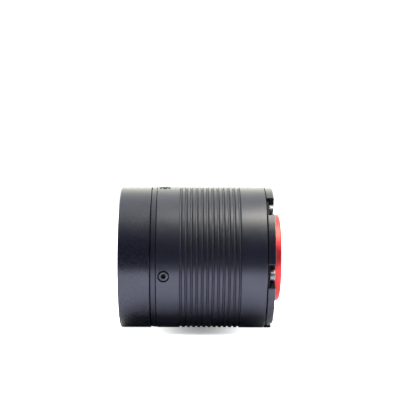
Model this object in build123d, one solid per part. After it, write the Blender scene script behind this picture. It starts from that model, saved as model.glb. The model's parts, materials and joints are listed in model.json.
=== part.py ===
from build123d import *
import os
from math import cos, radians, sin

# Cooled astronomy camera, in millimetres.
# Each piece is modelled with its optical axis along local +Z, starting at the rear face (z = 0).
# Local +X is up and local +Y is the side that faces the viewer. save() moves it to the part's frame:
# optical axis along +X, up along +Z, lying on its barrel with the lowest line of the barrel at Z = 0.

# Driving dimensions
BODY_RADIUS = 39.0
LENGTH = 87.0
CAP_END = 16.65
BAND_START = 17.05
BAND_END = 19.8
SHELL_START = 19.95
SHELL_END = 78.42
PLATE_START = 78.77
PLATE_END = 82.65
RED_RADIUS = 24.0
THREAD_RADIUS = 20.6
BORE_RADIUS = 35.6
FRONT_BORE_RADIUS = 31.7
SENSOR_PLANE = LENGTH - 17.5

# Grooved grip of the barrel
GROOVE_COUNT = 12
GROOVE_FIRST = 32.9
GROOVE_PITCH = 2.84
GROOVE_RADIUS = 0.76
GROOVE_CENTRE = 39.05

# Screw stations: angles from straight up, turning towards the viewer's side
RADIAL_SCREW_Z = 24.0
RADIAL_ANGLES = [9.5 + 90 * k for k in range(4)]
NOTCH_ANGLES = [39.5 + 60 * k for k in range(6)]
PUSH_ANGLES = NOTCH_ANGLES[0::2]
PULL_ANGLES = NOTCH_ANGLES[1::2]
NOTCH_WIDTH = 18.2
NOTCH_FLOOR = 0.93
STATION_RADIUS = 35.6
CAP_SCREW_ANGLES = [35, 145, 215, 325]
CAP_SCREW_RADIUS = 33.1
VENT_ARCS = [(44, 74), (106, 136), (224, 254), (286, 316)]

# Flat cable between the two boards, along the bottom of the bore
RIBBON_START = -2.0
RIBBON_END = 6.0

# Fan
FAN_SIZE = 40.0
FAN_START = 4.4
FAN_DEPTH = 10.0
FAN_BORE_RADIUS = 19.0
FAN_SCREW_PITCH = 32.0
BLADE_COUNT = 7
BLADE_TIP_RADIUS = 18.2
HUB_RADIUS = 9.5
SHAFT_RADIUS = 1.0
BEARING_CLEARANCE = 0.03

ROW = Plane(origin=(-LENGTH / 2, 0, BODY_RADIUS), x_dir=(0, 0, 1), z_dir=(1, 0, 0)).location
UP = (Align.CENTER, Align.CENTER, Align.MIN)


def save(name, *solids):
    shape = solids[0] if len(solids) == 1 else Compound(children=list(solids))
    export_step(ROW * shape, f"parts/{name}.step")


def disc(radius, z0, z1):
    return Pos(0, 0, z0) * Cylinder(radius, z1 - z0, align=UP)


def ring(outer, inner, z0, z1):
    return disc(outer, z0, z1) - disc(inner, z0, z1)


def block(x0, x1, y0, y1, z0, z1):
    return Pos(x0, y0, z0) * Box(x1 - x0, y1 - y0, z1 - z0, align=(Align.MIN, Align.MIN, Align.MIN))


def polar(radius, angle):
    return radius * cos(radians(angle)), radius * sin(radians(angle))


def post(radius, at, angle, z0, z1):
    x, y = polar(at, angle)
    return Pos(x, y, z0) * Cylinder(radius, z1 - z0, align=UP)


def turned(*points):
    """A solid of revolution from (radius, z) corners."""
    profile = make_face(Plane.XZ * Polyline(*points, close=True))
    return revolve(profile, Axis.Z)


def sector(outer, inner, first, last, z0, z1):
    """An annular sector between two angles."""
    path = [polar(inner, first), polar(outer, first)]
    middle = (first + last) / 2
    edges = [
        Line(*path),
        ThreePointArc(polar(outer, first), polar(outer, middle), polar(outer, last)),
        Line(polar(outer, last), polar(inner, last)),
        ThreePointArc(polar(inner, last), polar(inner, middle), polar(inner, first)),
    ]
    return extrude(Pos(0, 0, z0) * make_face(edges), amount=z1 - z0)


def hexagon(across_flats, z0, z1):
    outline = RegularPolygon(radius=across_flats / 2, side_count=6, major_radius=False)
    return extrude(Pos(0, 0, z0) * outline, amount=z1 - z0)


def cap_screw(thread, head, head_height, length, key):
    """A socket-cap screw whose head sits below z = 0 and whose thread points along +Z."""
    soft = 0.12 * head
    body = turned(
        (0, -head_height),
        (head / 2 - soft, -head_height),
        (head / 2 - 0.3 * soft, -head_height + 0.3 * soft),
        (head / 2, -head_height + soft),
        (head / 2, 0),
        (thread / 2, 0),
        (thread / 2, length - 0.25 * thread),
        (thread / 4, length),
        (0, length),
    )
    return body - hexagon(key, -head_height - 1, -0.42 * head_height)


def radial(angle, radius, z):
    """A placement on the barrel with local +Z pointing at the optical axis."""
    x, y = polar(radius, angle)
    inward = (-cos(radians(angle)), -sin(radians(angle)), 0)
    return Plane(origin=(x, y, z), x_dir=(0, 0, 1), z_dir=inward).location


def facing_rear(radius, angle, z):
    """A placement with local +Z pointing to the rear."""
    x, y = polar(radius, angle)
    return Plane(origin=(x, y, z), x_dir=(1, 0, 0), z_dir=(0, 0, -1)).location


def facing_front(radius, angle, z):
    x, y = polar(radius, angle)
    return Pos(x, y, z)


def wire_ring(radius, wire, z):
    return Pos(0, 0, z) * Torus(radius, wire / 2)


def grid(count_x, count_y, pitch_x, pitch_y):
    return [
        ((i - (count_x - 1) / 2) * pitch_x, (j - (count_y - 1) / 2) * pitch_y)
        for i in range(count_x)
        for j in range(count_y)
    ]


os.makedirs("parts", exist_ok=True)

# ---------------------------------------------------------------- rear cap
cap = turned(
    (0, 0),
    (BODY_RADIUS - 0.7, 0),
    (BODY_RADIUS - 0.2, 0.2),
    (BODY_RADIUS, 0.7),
    (BODY_RADIUS, CAP_END - 0.2),
    (BODY_RADIUS - 0.2, CAP_END),
    (36.2, CAP_END),
    (36.2, FAN_START),
    (0, FAN_START),
)
cap += ring(37.4, 36.2, CAP_END, BAND_START)
for angle in CAP_SCREW_ANGLES:
    boss = post(3.3, CAP_SCREW_RADIUS, angle, FAN_START, CAP_END)
    cap += boss & disc(36.3, 0, BAND_START)
    cap += post(2.5, CAP_SCREW_RADIUS, angle, CAP_END, BAND_START)
GUARD_POCKET = 43.5
GUARD_DEPTH = 3.0
pocket = extrude(RectangleRounded(GUARD_POCKET, GUARD_POCKET, 6.0), amount=GUARD_DEPTH)
cap -= pocket
cap -= disc(FAN_BORE_RADIUS, 0, FAN_START)
FAN_HOLES = grid(2, 2, FAN_SCREW_PITCH, FAN_SCREW_PITCH)
for x, y in FAN_HOLES:
    cap -= Pos(x, y, 0) * Cylinder(1.7, FAN_START, align=UP)
for first, last in VENT_ARCS:
    for inner in (28.0, 32.0):
        slot = sector(inner + 2.2, inner, first, last, -1, FAN_START + 1)
        slot += post(1.1, inner + 1.1, first, -1, FAN_START + 1)
        slot += post(1.1, inner + 1.1, last, -1, FAN_START + 1)
        cap -= slot
for angle in CAP_SCREW_ANGLES:
    cap -= post(2.4, CAP_SCREW_RADIUS, angle, -1, 2.9)
    cap -= post(1.4, CAP_SCREW_RADIUS, angle, 0, BAND_START + 1)
# Port windows: data socket above the fan, hub sockets below it, power jack on the viewer's side
cap -= block(22.9, 35.3, -6.8, 6.8, -1, FAN_START + 1)
cap -= block(-30.3, -23.7, -14.3, -0.5, -1, FAN_START + 1)
cap -= block(-30.3, -23.7, 0.5, 14.3, -1, FAN_START + 1)
cap -= block(-5.2, 5.2, 24.0, 35.3, 2.0, FAN_START + 1)
cap -= post(4.4, 29.6, 90, -1, 2.5)
save("rear_cap", cap)

# ---------------------------------------------------------------- fan guard and its screws
WIRE = 1.3
WIRE_Z = GUARD_DEPTH - WIRE / 2
guard = wire_ring(16.6, WIRE, WIRE_Z)
for radius in (11.6, 6.6):
    guard += wire_ring(radius, WIRE, WIRE_Z)
for angle in (45, 135, 225, 315):
    x, y = polar(20.2, angle)
    u, v = polar(2.2, angle)
    spoke = Cylinder(WIRE / 2, 18.0, align=UP)
    guard += Plane(origin=(u, v, WIRE_Z), z_dir=(x - u, y - v, 0)).location * spoke
for x, y in FAN_HOLES:
    guard += Pos(x, y, WIRE_Z) * Torus(2.35, WIRE / 2)
guard += disc(2.6, WIRE_Z - 0.5, WIRE_Z + 0.5)
save("fan_guard", guard)

guard_screw = turned(
    (0, -1.3),
    (1.7, -1.25),
    (2.5, -0.9),
    (2.75, 0),
    (1.45, 0),
    (1.45, 9.5),
    (1.0, 10.0),
    (0, 10.0),
) - hexagon(2.0, -2, -0.5)
save("fan_guard_screws", *[Pos(x, y, GUARD_DEPTH - WIRE) * guard_screw for x, y in FAN_HOLES])

cap_screw_m25 = cap_screw(2.5, 4.5, 2.5, 18.6, 2.0)
CAP_SCREWS = [facing_front(CAP_SCREW_RADIUS, a, 2.9) * cap_screw_m25 for a in CAP_SCREW_ANGLES]
save("rear_cap_screws", *CAP_SCREWS)

# ---------------------------------------------------------------- fan
FAN_END = FAN_START + FAN_DEPTH
frame = extrude(Pos(0, 0, FAN_START) * RectangleRounded(FAN_SIZE, FAN_SIZE, 3.5), amount=FAN_DEPTH)
frame -= disc(FAN_BORE_RADIUS, FAN_START, FAN_END)
for x, y in FAN_HOLES:
    frame -= Pos(x, y, FAN_START) * Cylinder(1.45, FAN_DEPTH, align=UP)
frame += disc(9.6, FAN_END - 1.3, FAN_END)
frame += ring(3.0, 2.0, FAN_START + 3.0, FAN_END - 1.3)
for angle in (20, 110, 200, 290):
    frame += Rot(0, 0, angle) * block(9.0, FAN_BORE_RADIUS + 0.4, -1.1, 1.1, FAN_END - 1.6, FAN_END)
save("fan_frame", frame)

bearing = ring(2.0, SHAFT_RADIUS + BEARING_CLEARANCE, FAN_START + 3.0, FAN_END - 1.3)
save("fan_bearing", bearing)

stator = ring(4.2, 3.0, FAN_START + 4.2, FAN_START + 7.4)
for k in range(4):
    tooth = block(3.8, 6.4, -1.5, 1.5, FAN_START + 4.2, FAN_START + 7.4)
    shoe = sector(7.1, 6.2, -34, 34, FAN_START + 4.6, FAN_START + 7.0)
    stator += Rot(0, 0, 90 * k) * (tooth + shoe)
save("fan_stator", stator)

hub = turned(
    (0, FAN_START + 0.5),
    (HUB_RADIUS - 0.6, FAN_START + 0.5),
    (HUB_RADIUS, FAN_START + 1.1),
    (HUB_RADIUS, FAN_START + 8.1),
    (8.7, FAN_START + 8.1),
    (8.7, FAN_START + 1.5),
    (2.2, FAN_START + 1.5),
    (2.2, FAN_START + 2.6),
    (SHAFT_RADIUS, FAN_START + 2.6),
    (SHAFT_RADIUS, FAN_START + 1.4),
    (0, FAN_START + 1.4),
)
blade_section = Plane.YZ * RectangleRounded(1.1, 8.4, 0.5)
blade = Pos(HUB_RADIUS - 0.35, 0, FAN_START + 4.4) * Rot(38, 0, 0) * extrude(blade_section, amount=12.0)
blade = blade & ring(BLADE_TIP_RADIUS, 8.9, FAN_START + 0.8, FAN_START + 8.0)
for k in range(BLADE_COUNT):
    hub += Rot(0, 0, k * 360 / BLADE_COUNT) * blade
save("fan_rotor", hub)
save("fan_magnet_ring", ring(8.7, 7.6, FAN_START + 3.2, FAN_START + 7.8))
save("fan_shaft", disc(SHAFT_RADIUS, FAN_START + 1.4, FAN_END - 1.9))

# ---------------------------------------------------------------- carrier ring
carrier = turned(
    (26.0, BAND_START),
    (BODY_RADIUS - 0.6, BAND_START),
    (BODY_RADIUS - 0.4, BAND_START + 0.2),
    (BODY_RADIUS - 0.15, BAND_END - 0.2),
    (BODY_RADIUS - 0.35, BAND_END),
    (35.5, BAND_END),
    (35.5, 28.5),
    (32.4, 28.5),
    (32.4, BAND_END + 2.4),
    (30.6, BAND_END + 2.4),
    (30.6, BAND_END),
    (26.0, BAND_END),
)
for first, last in VENT_ARCS:
    carrier -= sector(34.6, 31.0, first, last, BAND_START - 1, BAND_END + 3)
BOARD_SCREW_ANGLES = [50, 130, 230, 310]
for angle in BOARD_SCREW_ANGLES:
    carrier += post(1.9, 28.9, angle, 16.6, BAND_START)
    carrier -= post(1.0, 28.9, angle, 16.6, BAND_END)
for angle in CAP_SCREW_ANGLES:
    carrier -= post(1.25, CAP_SCREW_RADIUS, angle, BAND_START, 28.5)
for angle in RADIAL_ANGLES:
    carrier -= radial(angle, 36.0, RADIAL_SCREW_Z) * Cylinder(1.5, 5.0, align=UP)
carrier -= block(-35.1, -33.5, RIBBON_START - 0.5, RIBBON_END + 0.5, BAND_START - 1, BAND_END)
carrier -= block(-36.0, -30.0, RIBBON_START - 0.5, RIBBON_END + 0.5, BAND_END, 29.0)
save("carrier_ring", carrier)

# ---------------------------------------------------------------- socket board and ports
BOARD_Z = 15.0
socket_board = ring(35.3, 20.6, BOARD_Z, 16.6)
for first, last in VENT_ARCS:
    socket_board -= sector(36.0, 31.2, first - 3, last + 3, BOARD_Z - 1, 17.6)
for angle in CAP_SCREW_ANGLES:
    socket_board -= post(3.7, CAP_SCREW_RADIUS, angle, BOARD_Z, 16.6)
    socket_board -= sector(36.0, CAP_SCREW_RADIUS, angle - 6.4, angle + 6.4, BOARD_Z - 1, 17.6)
for angle in BOARD_SCREW_ANGLES:
    socket_board -= post(1.1, 28.9, angle, BOARD_Z, 16.6)
save("socket_board", socket_board)
board_screw = cap_screw(2.0, 3.6, 1.4, 4.2, 1.5)
BOARD_SCREWS = [facing_front(28.9, a, BOARD_Z) * board_screw for a in BOARD_SCREW_ANGLES]

# Data socket: wide lower mouth with a narrower step above it, and a tongue in the middle
DATA_X = 29.1
shell_b = block(DATA_X - 6.0, DATA_X + 6.0, -6.5, 6.5, 0.8, BOARD_Z)
mouth_b = block(DATA_X - 4.3, DATA_X + 4.3, -5.2, 2.8, 0.8, 11.0)
mouth_b += block(DATA_X - 2.9, DATA_X + 2.9, 2.8, 5.6, 0.8, 11.0)
save("data_socket_shell", shell_b - mouth_b)
tongue_b = block(DATA_X - 2.8, DATA_X + 2.8, -2.4, 0.8, 2.6, 11.0)
tongue_b += block(DATA_X - 2.3, DATA_X + 2.3, 3.4, 4.6, 3.0, 11.0)
save("data_socket_tongues", *tongue_b.solids())

hub_shells = []
hub_tongues = []
for side in (-1, 1):
    centre = side * 7.4
    outer = block(-30.0, -24.0, centre - 6.6, centre + 6.6, 0.8, BOARD_Z)
    mouth = block(-29.6, -24.4, centre - 6.2, centre + 6.2, 0.8, 13.4)
    hub_shells.append(outer - mouth)
    hub_tongues.append(block(-28.9, -27.0, centre - 5.4, centre + 5.4, 1.8, 13.4))
save("hub_socket_shells", *hub_shells)
save("hub_socket_tongues", *hub_tongues)

jack = block(-4.9, 4.9, 24.3, 35.0, 2.0, BOARD_Z) + post(4.1, 29.6, 90, 0.8, 2.0)
jack -= post(3.2, 29.6, 90, 0.5, 11.5)
save("power_jack", jack)
pin = turned((0, 2.6), (0.6, 2.6), (1.0, 3.0), (1.0, 11.5), (0, 11.5))
save("power_jack_pin", Pos(*polar(29.6, 90), 0) * pin)

# ---------------------------------------------------------------- main shell
shell = turned(
    (BORE_RADIUS, SHELL_START),
    (BODY_RADIUS - 0.3, SHELL_START),
    (BODY_RADIUS, SHELL_START + 0.3),
    (BODY_RADIUS, SHELL_END - 0.3),
    (BODY_RADIUS - 0.3, SHELL_END),
    (FRONT_BORE_RADIUS, SHELL_END),
    (FRONT_BORE_RADIUS, 57.6),
    (BORE_RADIUS, 57.6),
)
for k in range(GROOVE_COUNT):
    shell -= Pos(0, 0, GROOVE_FIRST + k * GROOVE_PITCH) * Torus(GROOVE_CENTRE, GROOVE_RADIUS)
COUNTERBORE_DEPTH = 2.35
COUNTERBORE = Cylinder(3.15, COUNTERBORE_DEPTH + 1.0, align=UP)
for angle in RADIAL_ANGLES:
    shell -= radial(angle, BODY_RADIUS + 1.0, RADIAL_SCREW_Z) * COUNTERBORE
    shell -= radial(angle, BODY_RADIUS + 1.0, RADIAL_SCREW_Z) * Cylinder(1.7, 6.0, align=UP)
CHAMBER_SCREW_RADIUS = 33.5
CHAMBER_SCREW_ANGLES = [60 * k for k in range(6)]
for angle in CHAMBER_SCREW_ANGLES:
    shell -= post(1.25, CHAMBER_SCREW_RADIUS, angle, 57.6, 65.0)
for angle in PULL_ANGLES:
    shell -= post(1.58, STATION_RADIUS, angle, SHELL_END - 10.0, SHELL_END)
save("main_shell", shell)

low_head = cap_screw(3.0, 5.5, 2.0, 4.2, 2.5)
SEAT_RADIUS = BODY_RADIUS - COUNTERBORE_DEPTH
save("side_screws", *[radial(a, SEAT_RADIUS, RADIAL_SCREW_Z) * low_head for a in RADIAL_ANGLES])

# ---------------------------------------------------------------- heat sink
SINK_BASE = 44.0
SINK_END = 48.0
sink = disc(34.5, SINK_BASE, SINK_END)
FIN_PITCH = 3.1
fins = disc(32.0, 22.3, SINK_BASE)
for k in range(-11, 11):
    gap = (k + 0.5) * FIN_PITCH
    fins -= block(-35.0, 35.0, gap - 0.95, gap + 0.95, 22.0, SINK_BASE)
sink += fins
sink -= block(-36.0, -33.5, -15.0, 15.0, 22.0, SINK_END)
SINK_SCREW_ANGLES = [45, 135, 225, 315]
for angle in SINK_SCREW_ANGLES:
    sink -= post(3.2, 25.0, angle, 21.0, 45.0)
    sink -= post(1.6, 25.0, angle, 21.0, 49.0)
save("heat_sink", *sorted(sink.solids(), key=lambda s: -s.volume)[:1])

# ---------------------------------------------------------------- thermoelectric cooler
def cooler(size, count, z0, height, plate):
    """Two ceramic plates with a square field of pellets between them."""
    half = size / 2
    body = block(-half, half, -half, half, z0, z0 + plate)
    body += block(-half, half, -half, half, z0 + height - plate, z0 + height)
    pitch = (size - 2.4) / (count - 1)
    for x, y in grid(count, count, pitch, pitch):
        body += block(x - 0.8, x + 0.8, y - 0.8, y + 0.8, z0 + plate, z0 + height - plate)
    return body


save("cooler_lower_stage", cooler(30.0, 8, SINK_END, 3.4, 0.8))
save("cooler_upper_stage", cooler(20.0, 6, 51.4, 3.0, 0.7))


def lead(y):
    """A cooler lead: out of the lower stage, through the insulation and on to the main board."""
    path = FilletPolyline((0, y, 0), (9.0, y, 0), (9.0, y, 1.1), radius=0.8)
    section = Plane(origin=(0, y, 0), z_dir=(1, 0, 0)) * Circle(0.45)
    return Pos(15.0, 0, 48.9) * sweep(section, path)


save("cooler_leads", lead(-3.0), lead(3.0))

insulation = block(-19.0, 19.0, -19.0, 19.0, SINK_END, 54.6)
insulation -= block(-15.3, 15.3, -15.3, 15.3, SINK_END, 54.6)
for y in (-3.0, 3.0):
    insulation -= block(15.0, 19.5, y - 0.7, y + 0.7, SINK_END, 49.7)
for angle in SINK_SCREW_ANGLES:
    insulation -= post(2.0, 25.0, angle, SINK_END, 54.6)
save("insulation_sleeve", insulation)

finger = block(-10.0, 10.0, -10.0, 10.0, 54.4, 62.5)
finger += block(-7.0, 7.0, -5.0, 5.0, 62.5, 65.6)
save("cold_finger", finger)

# ---------------------------------------------------------------- main board
MAIN_Z = 50.0
main_board = disc(34.9, MAIN_Z, 51.6) - block(-21.6, 21.6, -19.6, 19.6, MAIN_Z, 51.6)
PILLAR_ANGLES = [45, 135, 225, 315]
for angle in PILLAR_ANGLES:
    main_board -= post(1.1, 31.0, angle, MAIN_Z, 51.6)
save("main_board", main_board)
save(
    "main_board_chips",
    block(22.6, 31.0, -4.6, 4.6, 51.6, 52.9),
    block(-8.0, 8.0, 21.2, 31.2, 51.6, 53.1),
    block(-6.0, 6.0, -30.6, -21.6, 51.6, 52.8),
    block(10.6, 18.0, 21.2, 26.6, 51.6, 52.7),
    block(-18.0, -10.6, -26.6, -21.2, 51.6, 52.7),
)
INDUCTORS_AT = [(13.6, -24.2), (-13.6, 24.2), (-30.2, 8.0)]
CAPACITORS_AT = [(9.4, -27.6), (-30.2, 2.4), (-30.2, -8.6)]
inductors = [Pos(x, y, 51.6) * Box(4.6, 4.6, 2.4, align=UP) for x, y in INDUCTORS_AT]
capacitors = [Pos(x, y, 51.6) * Cylinder(1.7, 2.6, align=UP) for x, y in CAPACITORS_AT]
save("main_board_power_parts", *inductors, *capacitors)
PILLAR = hexagon(4.0, 51.6, 54.6) - disc(1.0, 51.6, 54.6)
save("main_board_pillars", *[facing_front(31.0, a, 0) * PILLAR for a in PILLAR_ANGLES])
BOARD_SCREWS += [facing_front(31.0, a, MAIN_Z) * board_screw for a in PILLAR_ANGLES]
save("board_screws", *BOARD_SCREWS)

ribbon = block(-34.75, -34.35, RIBBON_START, RIBBON_END, 16.6, MAIN_Z)
save("ribbon_cable", ribbon)

# ---------------------------------------------------------------- sensor chamber
CHAMBER_FLOOR = 57.6
chamber = turned(
    (0, 54.6),
    (35.3, 54.6),
    (35.3, CHAMBER_FLOOR),
    (31.6, CHAMBER_FLOOR),
    (31.6, 73.0),
    (27.6, 73.0),
    (27.6, CHAMBER_FLOOR),
    (0, CHAMBER_FLOOR),
)
chamber -= block(-11.2, 11.2, -11.2, 11.2, 54.0, 58.0)
chamber -= block(-26.0, -21.6, -8.4, 8.4, 54.0, 58.0)
chamber -= ring(30.4, 28.6, 72.2, 73.0)
for angle in CHAMBER_SCREW_ANGLES:
    chamber -= post(1.4, CHAMBER_SCREW_RADIUS, angle, 54.0, 58.0)
for angle in SINK_SCREW_ANGLES:
    chamber -= post(1.5, 25.0, angle, 54.0, 56.4)
save("sensor_chamber", chamber)
chamber_screw = cap_screw(2.5, 3.9, 1.8, 9.0, 2.0)
CHAMBER_SCREWS = [facing_front(CHAMBER_SCREW_RADIUS, a, 54.6) * chamber_screw for a in CHAMBER_SCREW_ANGLES]
save("chamber_screws", *CHAMBER_SCREWS)
sink_screw = cap_screw(3.0, 5.5, 2.0, 11.0, 2.5)
save("heat_sink_screws", *[facing_front(25.0, a, 45.0) * sink_screw for a in SINK_SCREW_ANGLES])
save("feed_through", block(-25.8, -21.8, -8.2, 8.2, 51.6, 64.0))
save("desiccant_tablets", *[post(3.2, 22.6, a, CHAMBER_FLOOR, 60.6) for a in (30, 90, 270, 330)])

# ---------------------------------------------------------------- sensor
sensor_board = disc(25.5, 64.0, 65.6) - block(-8.0, 8.0, -6.0, 6.0, 64.0, 65.6)
SENSOR_PILLAR_ANGLES = [45, 135, 225, 315]
for angle in SENSOR_PILLAR_ANGLES:
    sensor_board -= post(1.1, 22.6, angle, 64.0, 65.6)
save("sensor_board", sensor_board)
SENSOR_PILLAR = hexagon(4.0, CHAMBER_FLOOR, 64.0) - disc(1.0, CHAMBER_FLOOR, 64.0)
save("sensor_board_pillars", *[facing_front(22.6, a, 0) * SENSOR_PILLAR for a in SENSOR_PILLAR_ANGLES])
package = block(-10.5, 10.5, -13.5, 13.5, 65.6, 70.6)
package -= block(-8.4, 8.4, -11.4, 11.4, SENSOR_PLANE - 0.4, 70.6)
save("sensor_package", package)
save("sensor_die", block(-7.2, 7.2, -10.2, 10.2, SENSOR_PLANE - 0.4, SENSOR_PLANE))
save("sensor_cover_glass", block(-9.6, 9.6, -12.6, 12.6, 70.6, 71.3))

# ---------------------------------------------------------------- window cell
cell = turned(
    (15.6, 73.0),
    (31.6, 73.0),
    (31.6, 77.95),
    (31.3, 78.25),
    (19.0, 78.25),
    (19.0, 75.3),
    (15.6, 75.3),
)
cell -= ring(17.9, 16.4, 74.5, 75.3)
CELL_SCREW_ANGLES = [60 * k for k in range(6)]
for angle in CELL_SCREW_ANGLES:
    cell -= post(2.1, 28.2, angle, 76.9, 79.0)
    cell -= post(1.1, 28.2, angle, 72.0, 79.0)
save("window_cell", cell)
cell_screw = cap_screw(2.0, 3.8, 1.4, 3.8, 1.5)
save("window_cell_screws", *[facing_rear(28.2, a, 76.9) * cell_screw for a in CELL_SCREW_ANGLES])
save("window_and_chamber_seals", ring(17.8, 16.5, 74.5, 75.3), ring(30.3, 28.7, 72.2, 73.0))
save("window", turned((0, 75.3), (17.4, 75.3), (17.7, 75.6), (17.7, 77.0), (17.4, 77.3), (0, 77.3)))
retainer = ring(18.9, 16.0, 77.3, 78.15)
for angle in (0, 180):
    retainer -= Rot(0, 0, angle) * block(17.6, 20.0, -0.8, 0.8, 77.0, 79.0)
save("window_retainer", retainer)
save("dew_heater", ring(24.0, 17.0, 72.6, 73.0) + block(23.5, 26.5, -2.0, 2.0, 72.6, 73.0))

# ---------------------------------------------------------------- tilt plate
plate = turned(
    (22.6, PLATE_START),
    (BODY_RADIUS - 0.25, PLATE_START),
    (BODY_RADIUS, PLATE_START + 0.25),
    (BODY_RADIUS, PLATE_END - 0.45),
    (BODY_RADIUS - 0.15, PLATE_END - 0.12),
    (BODY_RADIUS - 0.45, PLATE_END),
    (22.6, PLATE_END),
)
NOTCH_BEVEL = Rot(0, 0, 45) * Box(0.85, 0.85, 6.0, align=UP)
for angle in NOTCH_ANGLES:
    first = angle - NOTCH_WIDTH / 2
    last = angle + NOTCH_WIDTH / 2
    plate -= sector(45.0, 31.6, first, last, PLATE_START + NOTCH_FLOOR, PLATE_END + 1)
    plate -= sector(45.0, 37.6, first, last, PLATE_START - 1, PLATE_END + 1)
    plate -= post(1.75, STATION_RADIUS, angle, PLATE_START - 1, PLATE_END + 1)
    for edge in (first, last):
        plate -= Rot(0, 0, edge) * Pos(BODY_RADIUS, 0, PLATE_START - 1) * NOTCH_BEVEL
SEAL_INNER = 25.0
SEAL_OUTER = 28.0
plate -= ring(SEAL_OUTER + 0.25, SEAL_INNER - 0.25, PLATE_START, PLATE_START + 1.25)
save("tilt_plate", plate)
save("light_seal_ring", ring(SEAL_OUTER, SEAL_INNER, PLATE_START - 0.12, PLATE_START + 1.0))

# Pull screws pass through the plate into the shell; push screws are threaded in the plate and bear on it
HEAD_HEIGHT = 2.2
WASHER = 0.3
PULL_GAP = 0.16
PUSH_GAP = 0.32
NOTCH_Z = PLATE_START + NOTCH_FLOOR
PULL_SEAT = NOTCH_Z + PULL_GAP + WASHER
PUSH_SEAT = NOTCH_Z + PUSH_GAP
pull_screw = cap_screw(3.0, 5.5, HEAD_HEIGHT, 11.0, 2.5)
push_screw = cap_screw(3.0, 5.5, HEAD_HEIGHT, PUSH_SEAT - SHELL_END - 0.03, 2.5)
washer = ring(2.9, 1.6, NOTCH_Z + PULL_GAP, PULL_SEAT)
for number, angle in enumerate(PULL_ANGLES, start=1):
    save(f"pull_screw_{number}", facing_rear(STATION_RADIUS, angle, PULL_SEAT) * pull_screw)
    save(f"pull_washer_{number}", facing_front(STATION_RADIUS, angle, 0) * washer)
for number, angle in enumerate(PUSH_ANGLES, start=1):
    save(f"push_screw_{number}", facing_rear(STATION_RADIUS, angle, PUSH_SEAT) * push_screw)

# ---------------------------------------------------------------- red threaded front ring
red = turned(
    (THREAD_RADIUS, PLATE_START + 0.2),
    (22.6, PLATE_START + 0.2),
    (22.6, PLATE_END),
    (RED_RADIUS, PLATE_END),
    (RED_RADIUS, LENGTH - 1.1),
    (RED_RADIUS - 0.3, LENGTH - 0.4),
    (RED_RADIUS - 1.1, LENGTH),
    (THREAD_RADIUS + 0.5, LENGTH),
    (THREAD_RADIUS, LENGTH - 0.5),
)
save("front_thread_ring", red)
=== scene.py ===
"""Looks of the cooled astronomy camera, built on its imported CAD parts. Metres, +Z up, barrel along X."""
import bpy
import json
import math
from collections import namedtuple
from mathutils import Matrix, Vector


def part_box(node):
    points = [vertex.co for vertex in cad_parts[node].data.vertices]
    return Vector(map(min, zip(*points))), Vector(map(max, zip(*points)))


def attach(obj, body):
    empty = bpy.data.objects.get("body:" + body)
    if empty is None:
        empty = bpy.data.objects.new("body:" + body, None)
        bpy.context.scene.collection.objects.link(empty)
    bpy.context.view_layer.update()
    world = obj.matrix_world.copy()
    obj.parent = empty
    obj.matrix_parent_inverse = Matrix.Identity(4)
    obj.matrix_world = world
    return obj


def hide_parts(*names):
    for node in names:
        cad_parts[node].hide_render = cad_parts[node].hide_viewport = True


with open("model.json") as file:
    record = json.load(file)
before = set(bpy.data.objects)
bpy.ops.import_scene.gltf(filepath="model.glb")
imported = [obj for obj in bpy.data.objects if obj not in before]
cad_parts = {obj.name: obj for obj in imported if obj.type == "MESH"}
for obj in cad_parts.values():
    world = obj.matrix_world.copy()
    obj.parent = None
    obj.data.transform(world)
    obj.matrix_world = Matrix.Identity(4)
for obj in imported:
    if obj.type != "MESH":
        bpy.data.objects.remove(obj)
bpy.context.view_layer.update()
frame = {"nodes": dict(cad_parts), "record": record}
NODES = frame["nodes"]
MM = 0.001
FULL_TURN = 2 * math.pi
BARREL_RADIUS = 39.0 * MM
AXIS_HEIGHT = BARREL_RADIUS     # the barrel lies on the floor

# ---------------------------------------------------------------- camera
CAMERA_AT = Vector((-0.0055, -0.5550, 0.0973))
CAMERA_LENS = 86.53     # millimetres of focal length
CAMERA_SENSOR = 36.0    # millimetres across
CAMERA_YAW = 0.997      # degrees towards +X
CAMERA_PITCH = -3.2     # degrees
CAMERA_ROLL = 0.38      # degrees, anticlockwise seen from behind the camera


def make_camera():
    yaw, pitch, roll = (math.radians(a) for a in (CAMERA_YAW, CAMERA_PITCH, CAMERA_ROLL))
    forward = Vector((math.sin(yaw) * math.cos(pitch), math.cos(yaw) * math.cos(pitch), math.sin(pitch)))
    right = forward.cross(Vector((0, 0, 1))).normalized()
    up = right.cross(forward)
    rolled_right = right * math.cos(roll) + up * math.sin(roll)
    rolled_up = up * math.cos(roll) - right * math.sin(roll)
    data = bpy.data.cameras.new("camera")
    data.lens = CAMERA_LENS
    data.sensor_width = CAMERA_SENSOR
    data.clip_start = 0.01
    camera = bpy.data.objects.new("camera", data)
    turn = Matrix((rolled_right, rolled_up, -forward)).transposed().to_4x4()
    camera.matrix_world = Matrix.Translation(CAMERA_AT) @ turn
    bpy.context.scene.collection.objects.link(camera)
    bpy.context.scene.camera = camera


make_camera()
bpy.context.scene.view_settings.view_transform = "Standard"


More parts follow.
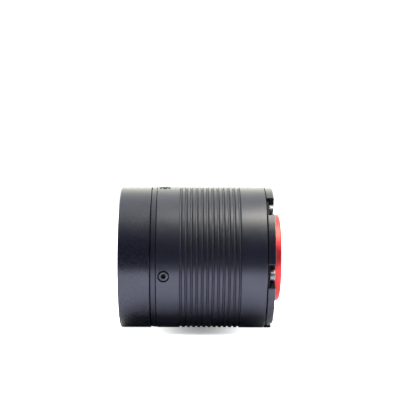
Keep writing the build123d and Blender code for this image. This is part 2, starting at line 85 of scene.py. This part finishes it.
# ---------------------------------------------------------------- node graphs
class Graph:
    """A short way to write node trees. Values are numbers or sockets."""

    def __init__(self, tree):
        self.tree = tree

    def node(self, kind, **settings):
        made = self.tree.nodes.new(kind)
        for key, value in settings.items():
            setattr(made, key, value)
        return made

    def put(self, value, socket):
        if isinstance(value, bpy.types.NodeSocket):
            self.tree.links.new(value, socket)
        else:
            socket.default_value = value

    def math(self, operation, *values):
        made = self.node("ShaderNodeMath", operation=operation)
        for value, socket in zip(values, made.inputs):
            self.put(value, socket)
        return made.outputs[0]

    def place(self):
        """The point in the row frame at rest, in metres."""
        return self.node("ShaderNodeTexCoord").outputs["Object"]

    def split(self, vector):
        made = self.node("ShaderNodeSeparateXYZ")
        self.put(vector, made.inputs[0])
        return made.outputs

    def join(self, x, y, z):
        made = self.node("ShaderNodeCombineXYZ")
        for value, socket in zip((x, y, z), made.inputs):
            self.put(value, socket)
        return made.outputs[0]

    def stretch(self, vector, x, y, z):
        made = self.node("ShaderNodeVectorMath", operation="MULTIPLY")
        self.put(vector, made.inputs[0])
        made.inputs[1].default_value = (x, y, z)
        return made.outputs[0]

    def noise(self, size, detail=2.0, vector=None, roughness=0.5):
        """Noise whose features are about size metres across."""
        made = self.node("ShaderNodeTexNoise")
        self.put(self.place() if vector is None else vector, made.inputs["Vector"])
        made.inputs["Scale"].default_value = 1.0 / size
        made.inputs["Detail"].default_value = detail
        made.inputs["Roughness"].default_value = roughness
        return made.outputs["Fac"]

    def cells(self, size, feature="F1"):
        """Distance from the nearest of points that are about size metres apart."""
        made = self.node("ShaderNodeTexVoronoi", feature=feature)
        self.put(self.place(), made.inputs["Vector"])
        made.inputs["Scale"].default_value = 1.0 / size
        return made.outputs["Distance"]

    def span(self, value, low, high, to_low, to_high):
        """value, with low to high stretched to to_low to to_high and held there outside."""
        made = self.node("ShaderNodeMapRange")
        for v, name in (
            (value, "Value"),
            (low, "From Min"),
            (high, "From Max"),
            (to_low, "To Min"),
            (to_high, "To Max"),
        ):
            self.put(v, made.inputs[name])
        return made.outputs[0]

    def blend(self, factor, a, b):
        """Colour a where factor is 0, b where it is 1."""
        made = self.node("ShaderNodeMix", data_type="RGBA")
        self.put(factor, made.inputs["Factor"])
        for value, name in ((a, "A_Color"), (b, "B_Color")):
            socket = next(s for s in made.inputs if s.identifier == name)
            self.put(value if isinstance(value, bpy.types.NodeSocket) else (*value, 1.0), socket)
        return next(s for s in made.outputs if s.identifier == "Result_Color")

    def bump(self, height, distance, strength):
        made = self.node("ShaderNodeBump")
        self.put(height, made.inputs["Height"])
        made.inputs["Strength"].default_value = strength
        made.inputs["Distance"].default_value = distance
        return made.outputs[0]


def material(name, **constants):
    """A new material, its graph and its shader, with sockets such as Coat_Weight set to constants."""
    made = bpy.data.materials.new(name)
    made.use_nodes = True
    shader = made.node_tree.nodes["Principled BSDF"]
    for key, value in constants.items():
        shader.inputs[key.replace("_", " ")].default_value = value
    return made, Graph(made.node_tree), shader


def tinted(colour, factor):
    return tuple(min(1.0, c * factor) for c in colour)


def axial(g):
    """x, distance from the optical axis, and angle round it."""
    x, y, z = g.split(g.place())
    up = g.math("SUBTRACT", z, AXIS_HEIGHT)
    radius = g.math("SQRT", g.math("ADD", g.math("MULTIPLY", y, y), g.math("MULTIPLY", up, up)))
    return x, radius, g.math("ARCTAN2", y, up)


def radial_lines(g, pitch):
    """Fine lathe-turned lines that follow the turned surfaces, from -1 to 1."""
    x, radius, _ = axial(g)
    drift = g.math("MULTIPLY", g.noise(9 * MM, 1.0), 1.5)
    travel = g.math("MULTIPLY", g.math("ADD", x, radius), FULL_TURN / pitch)
    return g.math("SINE", g.math("ADD", travel, drift))


def mask(g, value, low, high):
    """0 below low, 1 above high."""
    return g.span(value, low, high, 0.0, 1.0)


NO_END = 1.0            # a pocket limit that is off the part
POCKET_EDGE = 0.06 * MM
# A pocket marks surfaces sunk under a radius: there the colour is darkened by the shade factor as painted
# shade, and the roughness rises by rough.
Pocket = namedtuple("Pocket", "radius back front shade rough", defaults=(-NO_END, NO_END, 0.25, 0.20))


def inside_pocket(g, pocket):
    """1 nearer the optical axis than the pocket's radius and between its two x, else 0."""
    x, radius, _ = axial(g)
    inside = g.span(radius, pocket.radius - POCKET_EDGE, pocket.radius, 1.0, 0.0)
    inside = g.math("MULTIPLY", inside, mask(g, x, pocket.back, pocket.back + POCKET_EDGE))
    return g.math("MULTIPLY", inside, g.span(x, pocket.front - POCKET_EDGE, pocket.front, 1.0, 0.0))


def metal(name, colour, roughness, metallic=1.0, grain=0.35 * MM, variation=0.06, lathe=0.0, streaks=0.0,
          pocket=None, edge=(1.0, 1.0, 1.0), **constants):
    """Metal with a fine grain and a slightly mottled tone and gloss.

    lathe is the pitch of its turned lines and streaks the width of its drawn ones, if any. In a pocket its
    colour is darkened as painted shade and it is duller. edge tints the reflections at a grazing angle.
    """
    uneven = 0.025
    mat, g, s = material(name, Metallic=metallic, Specular_Tint=(*edge, 1.0), **constants)
    cloud = g.noise(12 * MM, 4.0)
    patch = g.noise(2.4 * MM, 3.0)
    fine = g.noise(grain, 3.0, roughness=0.65)
    tone = g.math("ADD", g.math("MULTIPLY", cloud, 0.5), g.math("MULTIPLY", fine, 0.5))
    base = g.blend(mask(g, tone, 0.38, 0.62), tinted(colour, 1 - variation), tinted(colour, 1 + variation))
    gloss = g.span(patch, 0.3, 0.7, roughness - uneven, roughness + uneven)
    gloss = g.math("ADD", gloss, g.span(fine, 0.3, 0.7, -uneven, uneven))
    height = fine
    if lathe:
        turned = g.math("MULTIPLY", radial_lines(g, lathe), 0.3)
        height = g.math("ADD", g.math("MULTIPLY", fine, 0.5), turned)
    if streaks:
        drawn = g.noise(streaks, 3.0, vector=g.stretch(g.place(), 0.04, 1.0, 1.0))
        height = g.math("ADD", g.math("MULTIPLY", fine, 0.4), drawn)
        gloss = g.math("ADD", gloss, g.span(drawn, 0.3, 0.7, -0.05, 0.05))
    if pocket:
        # Painted shade: inside the pocket the base colour is darkened; the added roughness makes it duller.
        inside = inside_pocket(g, pocket)
        base = g.blend(inside, base, tinted(colour, pocket.shade))
        gloss = g.math("ADD", gloss, g.math("MULTIPLY", inside, pocket.rough))
    g.put(base, s.inputs["Base Color"])
    g.put(gloss, s.inputs["Roughness"])
    g.put(g.bump(height, 0.012 * MM, 0.6), s.inputs["Normal"])
    return mat


def plastic(name, colour, roughness, pebble=0.45 * MM, variation=0.12):
    """Moulded plastic, rubber or epoxy with a pebbled skin and slightly uneven colour and gloss."""
    mat, g, s = material(name)
    skin = g.cells(pebble, "SMOOTH_F1")
    cloud = g.noise(5 * MM, 4.0)
    grit = g.noise(pebble * 0.6, 2.0)
    tone = g.math("ADD", g.math("MULTIPLY", cloud, 0.7), g.math("MULTIPLY", grit, 0.3))
    base = g.blend(mask(g, tone, 0.35, 0.65), tinted(colour, 1 - variation), tinted(colour, 1 + variation))
    g.put(base, s.inputs["Base Color"])
    g.put(g.span(cloud, 0.3, 0.7, roughness - 0.05, roughness + 0.05), s.inputs["Roughness"])
    g.put(g.bump(skin, 0.02 * MM, 0.5), s.inputs["Normal"])
    return mat


def foam(name, colour, cell=0.8 * MM):
    """Open-cell foam: a lighter web, with painted shade darkening its pits."""
    mat, g, s = material(name)
    pits = g.cells(cell)
    web = g.math("ADD", pits, g.math("MULTIPLY", g.noise(cell * 0.4, 3.0), 0.5))
    # Painted shade: the colour darkens towards the middle of each pit.
    g.put(g.blend(mask(g, web, 0.3, 0.9), tinted(colour, 0.35), tinted(colour, 1.6)), s.inputs["Base Color"])
    g.put(g.span(pits, 0.0, 0.7, 0.98, 0.85), s.inputs["Roughness"])
    g.put(g.bump(web, 0.2 * MM, 0.7), s.inputs["Normal"])
    return mat


GOLD = (0.83, 0.60, 0.26)
# Painted shade: the near-black painted into the middles of the plated holes.
PAINTED_HOLE_SHADE = (0.01, 0.01, 0.01)
BOARD_PITCH = 1.1 * MM
PLATED_SHARE = 0.22     # share of the squares of a board that have a plated hole


def board_squares(g):
    """Distances of a point from the two middle lines of its square, and a random number for the square."""
    _, y, z = g.split(g.place())
    spot = g.stretch(g.join(y, z, 0.0), 1 / BOARD_PITCH, 1 / BOARD_PITCH, 1.0)
    whole = g.node("ShaderNodeVectorMath", operation="FLOOR")
    g.put(spot, whole.inputs[0])
    chance = g.node("ShaderNodeTexWhiteNoise", noise_dimensions="3D")
    g.put(whole.outputs[0], chance.inputs["Vector"])
    part = g.node("ShaderNodeVectorMath", operation="FRACTION")
    g.put(spot, part.inputs[0])
    u, v, _ = g.split(part.outputs[0])
    u = g.math("ABSOLUTE", g.math("SUBTRACT", u, 0.5))
    v = g.math("ABSOLUTE", g.math("SUBTRACT", v, 0.5))
    return u, v, chance.outputs["Value"]


def board(name, solder_mask, copper_under):
    """A circuit board that lies across the axis: tracks under the solder mask and gold plated holes."""
    mat, g, s = material(name, Specular_IOR_Level=0.6)
    u, v, luck = board_squares(g)
    across = g.math("GREATER_THAN", luck, 0.5)
    along = g.math("SUBTRACT", 1.0, across)
    distance = g.math("ADD", g.math("MULTIPLY", across, u), g.math("MULTIPLY", along, v))
    track = g.span(distance, 0.10, 0.14, 1.0, 0.0)
    reach = g.math("SQRT", g.math("ADD", g.math("MULTIPLY", u, u), g.math("MULTIPLY", v, v)))
    chosen = g.math("LESS_THAN", g.math("FRACT", g.math("MULTIPLY", luck, 7.0)), PLATED_SHARE)
    plated = g.math("MULTIPLY", g.span(reach, 0.20, 0.24, 1.0, 0.0), chosen)
    hole = g.math("MULTIPLY", plated, g.span(reach, 0.07, 0.10, 1.0, 0.0))
    tone = g.blend(g.noise(4 * MM, 3.0), tinted(solder_mask, 0.8), tinted(solder_mask, 1.2))
    base = g.blend(track, tone, copper_under)
    base = g.blend(plated, base, GOLD)
    # Painted shade: the middle of each plated hole is painted near-black.
    base = g.blend(hole, base, PAINTED_HOLE_SHADE)
    g.put(base, s.inputs["Base Color"])
    g.put(g.math("MULTIPLY", plated, 0.9), s.inputs["Metallic"])
    g.put(g.span(g.noise(0.6 * MM, 2.0), 0.3, 0.7, 0.28, 0.42), s.inputs["Roughness"])
    raised = g.math("SUBTRACT", g.math("MAXIMUM", track, plated), g.math("MULTIPLY", hole, 2.0))
    g.put(g.bump(raised, 0.03 * MM, 0.8), s.inputs["Normal"])
    return mat


def socket_tongue(name, colour, contact_pitch):
    """The plastic tongue of a socket, with sprung contacts let into it."""
    mat, g, s = material(name)
    _, y, _ = g.split(g.place())
    strip = mask(g, g.math("COSINE", g.math("MULTIPLY", y, FULL_TURN / contact_pitch)), 0.35, 0.45)
    tone = g.blend(g.noise(1.5 * MM, 3.0), tinted(colour, 0.85), tinted(colour, 1.15))
    g.put(g.blend(strip, tone, GOLD), s.inputs["Base Color"])
    g.put(strip, s.inputs["Metallic"])
    g.put(g.span(g.noise(0.4 * MM, 2.0), 0.3, 0.7, 0.3, 0.45), s.inputs["Roughness"])
    g.put(g.bump(strip, 0.04 * MM, 0.8), s.inputs["Normal"])
    return mat


def ribbon(name, conductor_pitch=1.0 * MM):
    """A flat flexible cable: bright conductors seen through a white film."""
    mat, g, s = material(name)
    _, y, _ = g.split(g.place())
    lines = mask(g, g.math("COSINE", g.math("MULTIPLY", y, FULL_TURN / conductor_pitch)), 0.1, 0.4)
    film = g.blend(g.noise(3 * MM, 3.0), (0.82, 0.82, 0.80), (0.90, 0.90, 0.88))
    g.put(g.blend(lines, film, (0.60, 0.61, 0.62)), s.inputs["Base Color"])
    g.put(g.span(lines, 0.0, 1.0, 0.42, 0.30), s.inputs["Roughness"])
    g.put(g.bump(lines, 0.03 * MM, 0.7), s.inputs["Normal"])
    return mat


def cooler_stage(name, low, high, plate):
    """White ceramic plates at the two ends of a stage, with grey soldered pellets between them."""
    mat, g, s = material(name)
    x, _, _ = g.split(g.place())
    edge = 0.05 * MM
    inside = g.math("MULTIPLY", mask(g, x, low + plate, low + plate + edge),
                    g.span(x, high - plate - edge, high - plate, 1.0, 0.0))
    speckle = g.noise(0.4 * MM, 4.0)
    ceramic = g.blend(speckle, (0.80, 0.79, 0.76), (0.90, 0.89, 0.86))
    pellet = g.blend(speckle, (0.20, 0.20, 0.21), (0.34, 0.34, 0.36))
    g.put(g.blend(inside, ceramic, pellet), s.inputs["Base Color"])
    g.put(g.math("MULTIPLY", inside, 0.7), s.inputs["Metallic"])
    g.put(g.span(speckle, 0.3, 0.7, 0.45, 0.62), s.inputs["Roughness"])
    g.put(g.bump(speckle, 0.01 * MM, 0.6), s.inputs["Normal"])
    return mat


def heater_film(name, track_pitch=1.6 * MM):
    """Amber film over a copper track that winds round the window."""
    mat, g, s = material(name, Specular_IOR_Level=0.6)
    _, radius, angle = axial(g)
    sway = g.math("MULTIPLY", g.math("SINE", g.math("MULTIPLY", angle, 36.0)), 0.9)
    turn = g.math("SINE", g.math("ADD", g.math("MULTIPLY", radius, FULL_TURN / track_pitch), sway))
    track = mask(g, turn, 0.1, 0.3)
    film = g.blend(g.noise(4 * MM, 4.0), (0.60, 0.25, 0.03), (0.76, 0.38, 0.07))
    g.put(g.blend(track, film, (0.45, 0.16, 0.03)), s.inputs["Base Color"])
    g.put(g.span(g.noise(0.7 * MM, 3.0), 0.3, 0.7, 0.2, 0.34), s.inputs["Roughness"])
    g.put(g.bump(track, 0.03 * MM, 0.7), s.inputs["Normal"])
    return mat


SENSOR_BORDER = 0.8 * MM
SENSOR_RULING = 0.12 * MM


def sensor_chip(name, low, high):
    """Silicon: a finely ruled green-blue active area inside a plain grey border."""
    mat, g, s = material(name, Metallic=0.6, Specular_IOR_Level=0.8)
    _, y, z = g.split(g.place())
    half_y = (high.y - low.y) / 2 - SENSOR_BORDER
    half_z = (high.z - low.z) / 2 - SENSOR_BORDER
    off_y = g.math("ABSOLUTE", g.math("SUBTRACT", y, (high.y + low.y) / 2))
    off_z = g.math("ABSOLUTE", g.math("SUBTRACT", z, (high.z + low.z) / 2))
    inner = g.math("MULTIPLY", g.span(off_y, half_y - 0.1 * MM, half_y, 1.0, 0.0),
                   g.span(off_z, half_z - 0.1 * MM, half_z, 1.0, 0.0))
    rows = g.math("SINE", g.math("MULTIPLY", z, FULL_TURN / SENSOR_RULING))
    columns = g.math("SINE", g.math("MULTIPLY", y, FULL_TURN / SENSOR_RULING))
    ruled = mask(g, g.math("MULTIPLY", rows, columns), -0.6, 0.6)
    active = g.blend(ruled, (0.05, 0.16, 0.15), (0.10, 0.24, 0.19))
    active = g.blend(mask(g, g.noise(12 * MM, 1.0), 0.35, 0.65), active, (0.12, 0.13, 0.24))
    g.put(g.blend(inner, (0.30, 0.29, 0.27), active), s.inputs["Base Color"])
    g.put(g.span(g.noise(0.5 * MM, 2.0), 0.3, 0.7, 0.08, 0.16), s.inputs["Roughness"])
    g.put(g.bump(g.math("MULTIPLY", ruled, inner), 0.002 * MM, 0.5), s.inputs["Normal"])
    return mat


def glass(name, tint):
    """Coated optical glass with a trace of dust and uneven polish."""
    mat, g, s = material(name, IOR=1.52, Transmission_Weight=1.0)
    clean = mask(g, g.cells(3.5 * MM), 0.03, 0.06)
    clear = g.blend(g.noise(10 * MM, 2.0), tint, tinted(tint, 1.03))
    g.put(g.blend(clean, (0.75, 0.76, 0.76), clear), s.inputs["Base Color"])
    g.put(g.span(clean, 0.0, 1.0, 0.25, 0.0), s.inputs["Roughness"])
    g.put(g.bump(g.noise(6 * MM, 1.0), 0.002 * MM, 0.3), s.inputs["Normal"])
    return mat


def winding(name, wire_pitch=0.28 * MM):
    """Varnished copper wire wound round the fan's poles."""
    mat, g, s = material(name, Metallic=1.0)
    x, _, angle = axial(g)
    slanted = g.math("ADD", x, g.math("MULTIPLY", angle, 1.2 * MM))
    wires = g.math("SINE", g.math("MULTIPLY", slanted, FULL_TURN / wire_pitch))
    tone = g.blend(g.noise(1 * MM, 3.0), (0.62, 0.25, 0.11), (0.82, 0.40, 0.20))
    # Painted shade: the colour darkens in the troughs between the wires.
    g.put(g.blend(mask(g, wires, -0.9, -0.2), (0.22, 0.08, 0.04), tone), s.inputs["Base Color"])
    g.put(g.span(g.noise(0.6 * MM, 2.0), 0.3, 0.7, 0.25, 0.4), s.inputs["Roughness"])
    g.put(g.bump(wires, 0.06 * MM, 0.9), s.inputs["Normal"])
    return mat


# ---------------------------------------------------------------- materials
BLACK = (0.047, 0.0485, 0.070)
RED = (0.46, 0.008, 0.018)
MOULDED_BLACK = (0.022, 0.022, 0.024)
MOULDED_WHITE = (0.78, 0.78, 0.76)

box_of = {name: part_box(name) for name in NODES}


def ends_of(name):
    """The lowest and highest x of a node."""
    low, high = box_of[name]
    return low.x, high.x


LOOKS = {
    "bare_aluminium": metal("aluminium_milled", (0.74, 0.75, 0.76), 0.34, streaks=0.4 * MM),
    "black_anodised": metal("anodised_black_inner", BLACK, 0.42, lathe=0.3 * MM),
    "black_oxide_steel": metal("steel_black_oxide", (0.075, 0.077, 0.085), 0.34, variation=0.2),
    "black_plastic": plastic("plastic_black", MOULDED_BLACK, 0.48),
    "blue_plastic": socket_tongue("socket_tongue_blue", (0.02, 0.13, 0.55), 2.0 * MM),
    "board_black": board("board_black", (0.010, 0.011, 0.013), (0.030, 0.032, 0.034)),
    "board_green": board("board_green", (0.010, 0.085, 0.035), (0.030, 0.17, 0.07)),
    "brass": metal("brass_turned", (0.72, 0.50, 0.20), 0.30, variation=0.12, lathe=0.3 * MM),
    "ceramic_dark": plastic("ceramic_dark", (0.055, 0.048, 0.050), 0.55, pebble=0.2 * MM, variation=0.2),
    "chip_epoxy": plastic("chip_epoxy", MOULDED_BLACK, 0.6, pebble=0.12 * MM, variation=0.3),
    "copper": metal("copper_milled", (0.80, 0.38, 0.22), 0.30, variation=0.12, streaks=0.4 * MM),
    "desiccant": foam("desiccant_tablet", (0.62, 0.62, 0.60), cell=0.5 * MM),
    "foam": foam("foam_black", (0.035, 0.035, 0.037)),
    "magnet": plastic("magnet_ring", (0.06, 0.055, 0.055), 0.6, pebble=0.3 * MM, variation=0.25),
    "plated_steel": metal("steel_plated", (0.16, 0.165, 0.205), 0.44, variation=0.08, grain=0.6 * MM),
    "polyimide": heater_film("heater_film"),
    "red_anodised": metal("anodised_red", RED, 0.44, metallic=0.74, variation=0.05, edge=(1.0, 0.5, 0.5),
                          Coat_Weight=0.45, Coat_Roughness=0.36, Coat_IOR=1.6),
    "seal_rubber": plastic("rubber_black", (0.016, 0.016, 0.017), 0.62, pebble=0.3 * MM, variation=0.2),
    "silicon": sensor_chip("silicon_sensor", *box_of["sensor_die"]),
    "white_plastic": plastic("plastic_white", MOULDED_WHITE, 0.4, variation=0.04),
    "window_glass": glass("glass_coated", (0.93, 0.97, 0.95)),
}
CAP_LIP = ends_of("rear_cap")[1] - 0.46 * MM
PLATE_FACE = ends_of("tilt_plate")[1] - 0.05 * MM
# The pockets below paint shade: they darken surfaces that lie under the barrel's surface, such as the shell's
# grooves, the tilt plate's notches, the side screws' sockets and the seams at the rear cap and carrier ring.
OWN_LOOKS = {
    "rear_cap": metal("anodised_rear_cap", tinted(BLACK, 0.92), 0.285,
                      pocket=Pocket(BARREL_RADIUS - 0.15 * MM, back=CAP_LIP, shade=0.1)),
    "carrier_ring": metal("anodised_carrier_ring", tinted(BLACK, 0.85), 0.35,
                          pocket=Pocket(BARREL_RADIUS - 0.45 * MM, shade=0.1)),
    "main_shell": metal("anodised_shell", BLACK, 0.33,
                        pocket=Pocket(BARREL_RADIUS - 0.10 * MM, shade=0.93)),
    "tilt_plate": metal("anodised_tilt_plate", tinted(BLACK, 0.9), 0.29, lathe=0.25 * MM,
                        pocket=Pocket(BARREL_RADIUS - 0.42 * MM, front=PLATE_FACE)),
    "side_screws": metal("steel_side_screws", (0.050, 0.052, 0.068), 0.34, variation=0.2,
                         pocket=Pocket(BARREL_RADIUS - 1.1 * MM, shade=0.15)),
    "cooler_lower_stage": cooler_stage("cooler_lower_stage", *ends_of("cooler_lower_stage"), 0.8 * MM),
    "cooler_upper_stage": cooler_stage("cooler_upper_stage", *ends_of("cooler_upper_stage"), 0.6 * MM),
    "fan_stator": winding("fan_winding"),
    "hub_socket_tongues": socket_tongue("socket_tongue_white", MOULDED_WHITE, 2.5 * MM),
    "ribbon_cable": ribbon("ribbon_film"),
}
slot_of = {row["node"]: row["material_slot"] for row in frame["record"]["subparts"]}
for name, node in NODES.items():
    look = OWN_LOOKS.get(name) or LOOKS[slot_of[name]]
    node.data.materials.clear()
    node.data.materials.append(look)


# ---------------------------------------------------------------- red front ring with its thread
THREAD_PITCH = 0.75 * MM
THREAD_MINOR = 20.6 * MM
THREAD_MAJOR = 20.98 * MM
THREAD_FLANK = 4.8       # steepness of the thread's sides
THREAD_ROOT = 0.7        # share of that slope that the flat between two crests takes
THREAD_STEPS = 10        # rows of the wall for each turn of the thread
RING_RADIUS = 24.0 * MM
RING_STEP = 22.6 * MM    # radius of the part of the ring that sits in the tilt plate
RING_SIDES = 160


def revolve(name, profile, sides, radius_at):
    """A closed ring from (x, radius) corners, turned round the optical axis. radius_at may move a point out."""
    points, faces = [], []
    count = len(profile)
    for i in range(sides):
        angle = FULL_TURN * i / sides
        for x, radius in profile:
            r = radius_at(x, radius, angle)
            points.append((x, -r * math.sin(angle), AXIS_HEIGHT + r * math.cos(angle)))
    for i in range(sides):
        following = (i + 1) % sides
        for j in range(count):
            k = (j + 1) % count
            faces.append((i * count + j, i * count + k, following * count + k, following * count + j))
    mesh = bpy.data.meshes.new(name)
    mesh.from_pydata(points, [], faces)
    mesh.validate()
    obj = bpy.data.objects.new(name, mesh)
    bpy.context.scene.collection.objects.link(obj)
    return obj


def make_front_ring():
    back, front = ends_of("front_thread_ring")
    plate_front = ends_of("tilt_plate")[1]
    inner_start, inner_end = back + 0.3 * MM, front - 0.35 * MM
    rows = int(round((inner_end - inner_start) / THREAD_PITCH * THREAD_STEPS))
    wall = [(inner_start + (inner_end - inner_start) * i / rows, THREAD_MINOR) for i in range(rows + 1)]
    profile = wall + [
        (front, THREAD_MINOR + 0.45 * MM),
        (front, RING_RADIUS - 1.1 * MM),
        (front - 0.12 * MM, RING_RADIUS - 0.72 * MM),
        (front - 0.4 * MM, RING_RADIUS - 0.3 * MM),
        (front - 0.72 * MM, RING_RADIUS - 0.08 * MM),
        (front - 1.1 * MM, RING_RADIUS),
        (plate_front, RING_RADIUS),
        (plate_front, RING_STEP),
        (back, RING_STEP),
        (back, THREAD_MINOR),
    ]

    def threaded(x, radius, angle):
        if radius > THREAD_MINOR or x <= inner_start or x >= inner_end:
            return radius
        phase = ((x - inner_start) / THREAD_PITCH - angle / FULL_TURN) % 1.0
        crest = max(0.0, min(1.0, THREAD_FLANK * abs(phase - 0.5) - THREAD_ROOT))
        fade = min(1.0, (x - inner_start) / THREAD_PITCH, (inner_end - x) / THREAD_PITCH)
        return radius + (THREAD_MAJOR - THREAD_MINOR) * crest * fade

    ring = revolve("front_thread_ring_cut", profile, RING_SIDES, threaded)
    ring.data.materials.append(LOOKS["red_anodised"])
    ring.data.shade_smooth()
    ring.data.set_sharp_from_angle(angle=math.radians(35))
    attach(ring, "front_plate_body")
    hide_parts("front_thread_ring")


make_front_ring()

# ---------------------------------------------------------------- floor and light
FLOOR_FRONT = -0.150
FLOOR_SIDE = 1.2
FLOOR_BACK = 1.2
FLOOR_GLOW = (0.31, 1.0)        # painted light: glow added where a camera sees the floor itself, least under the barrel, which leaves a painted shadow there
PAINTED_SHADOW_REACH = (0.022, 0.075)     # half-width and half-depth of the painted shadow patch that gets less glow


def make_floor():
    corners = [
        (-FLOOR_SIDE, FLOOR_FRONT, 0),
        (FLOOR_SIDE, FLOOR_FRONT, 0),
        (FLOOR_SIDE, FLOOR_BACK, 0),
        (-FLOOR_SIDE, FLOOR_BACK, 0),
    ]
    mesh = bpy.data.meshes.new("floor")
    mesh.from_pydata(corners, [], [(0, 1, 2, 3)])
    floor = bpy.data.objects.new("floor", mesh)
    bpy.context.scene.collection.objects.link(floor)
    mat, g, s = material("floor_white", Roughness=0.9)
    g.put(g.blend(g.noise(0.2, 2.0), (0.86, 0.86, 0.87), (0.89, 0.89, 0.90)), s.inputs["Base Color"])
    # Painted light: an emission that only camera rays see. It is weakest under the barrel, which leaves a
    # painted shadow there.
    glow = g.node("ShaderNodeEmission")
    x, y, _ = g.split(g.place())
    across = g.math("POWER", g.math("MULTIPLY", x, 1 / PAINTED_SHADOW_REACH[0]), 2.0)
    along = g.math("POWER", g.math("MULTIPLY", y, 1 / PAINTED_SHADOW_REACH[1]), 2.0)
    g.put(g.span(g.math("ADD", across, along), 0.0, 1.0, *FLOOR_GLOW), glow.inputs["Strength"])
    both = g.node("ShaderNodeAddShader")
    g.put(s.outputs[0], both.inputs[0])
    g.put(glow.outputs[0], both.inputs[1])
    pick = g.node("ShaderNodeMixShader")
    g.put(g.node("ShaderNodeLightPath").outputs["Is Camera Ray"], pick.inputs[0])
    g.put(s.outputs[0], pick.inputs[1])
    g.put(both.outputs[0], pick.inputs[2])
    out = next(n for n in mat.node_tree.nodes if n.type == "OUTPUT_MATERIAL")
    g.put(pick.outputs[0], out.inputs["Surface"])
    mesh.materials.append(mat)


make_floor()

# The studio's surround: (degrees round the optical axis, brightness). 0 is level on the camera's side, 90 is
# overhead and -90 is below.
SKY = (
    (-180, 2.2), (-95, 0.35), (-20, 0.20), (-5, 0.20), (30, 0.20), (42, 0.38), (56, 0.84), (72, 1.70),
    (90, 2.45), (120, 2.65), (150, 3.05), (168, 3.1), (180, 2.7),
)
SKY_TOP = 3.1
SHADE_BLUE = (0.85, 0.95, 1.35)     # tint of the dim side of the room
SKY_WARM = (1.0, 1.03, 0.86)        # tint of the bright side
SHADE_END = 50                      # degrees
SKY_ENDS = (0.72, 0.95)             # |x| of the direction where the even light at both ends takes over
END_LEVEL = 0.42
END_TINT = (1.0, 1.0, 1.04)
BACKDROP = 1.05                     # the plain white that a camera sees behind everything


def make_world():
    world = bpy.data.worlds.new("studio")
    world.use_nodes = True
    bpy.context.scene.world = world
    tree = world.node_tree
    g = Graph(tree)
    tree.nodes.clear()
    direction = g.node("ShaderNodeTexCoord").outputs["Generated"]
    x, y, z = g.split(direction)
    angle = g.math("ARCTAN2", z, g.math("MULTIPLY", y, -1.0))
    where = g.span(angle, -math.pi, math.pi, 0.0, 1.0)
    ramp = g.node("ShaderNodeValToRGB")
    ramp.color_ramp.interpolation = "EASE"
    stops = ramp.color_ramp.elements
    while len(stops) < len(SKY):
        stops.new(0.5)
    for stop, (degrees, level) in zip(stops, SKY):
        stop.position = (degrees + 180) / 360
        tint = SHADE_BLUE if degrees < SHADE_END else SKY_WARM
        stop.color = (*(level / SKY_TOP * c for c in tint), 1)
    g.put(where, ramp.inputs[0])
    ends = g.span(g.math("ABSOLUTE", x), *SKY_ENDS, 0.0, 1.0)
    room = g.node("ShaderNodeBackground")
    g.put(g.blend(ends, ramp.outputs[0], tinted(END_TINT, END_LEVEL / SKY_TOP)), room.inputs["Color"])
    room.inputs["Strength"].default_value = SKY_TOP
    white = g.node("ShaderNodeBackground")
    white.inputs["Color"].default_value = (1, 1, 1, 1)
    white.inputs["Strength"].default_value = BACKDROP
    pick = g.node("ShaderNodeMixShader")
    g.put(g.node("ShaderNodeLightPath").outputs["Is Camera Ray"], pick.inputs[0])
    g.put(room.outputs[0], pick.inputs[1])
    g.put(white.outputs[0], pick.inputs[2])
    out = g.node("ShaderNodeOutputWorld")
    g.put(pick.outputs[0], out.inputs[0])


make_world()


def area_light(name, at, aim, size, power, colour, diffuse=True, glossy=True):
    data = bpy.data.lights.new(name, "AREA")
    data.shape = "RECTANGLE"
    data.size, data.size_y = size
    data.energy = power
    data.color = colour
    light = bpy.data.objects.new(name, data)
    light.location = at
    light.rotation_euler = (Vector(aim) - Vector(at)).to_track_quat("-Z", "Y").to_euler()
    light.visible_diffuse = diffuse
    light.visible_glossy = glossy
    bpy.context.scene.collection.objects.link(light)


area_light("key", at=(0.20, -0.11, 0.42), aim=(0.03, 0.0, 0.03), size=(0.30, 0.3), power=3.9,
           colour=(1.0, 0.93, 0.58), diffuse=False)
area_light("table", at=(0.0, -0.13, 0.60), aim=(0.0, -0.03, 0.0), size=(0.60, 0.4), power=8.5,
           colour=(1.0, 1.0, 1.0), glossy=False)
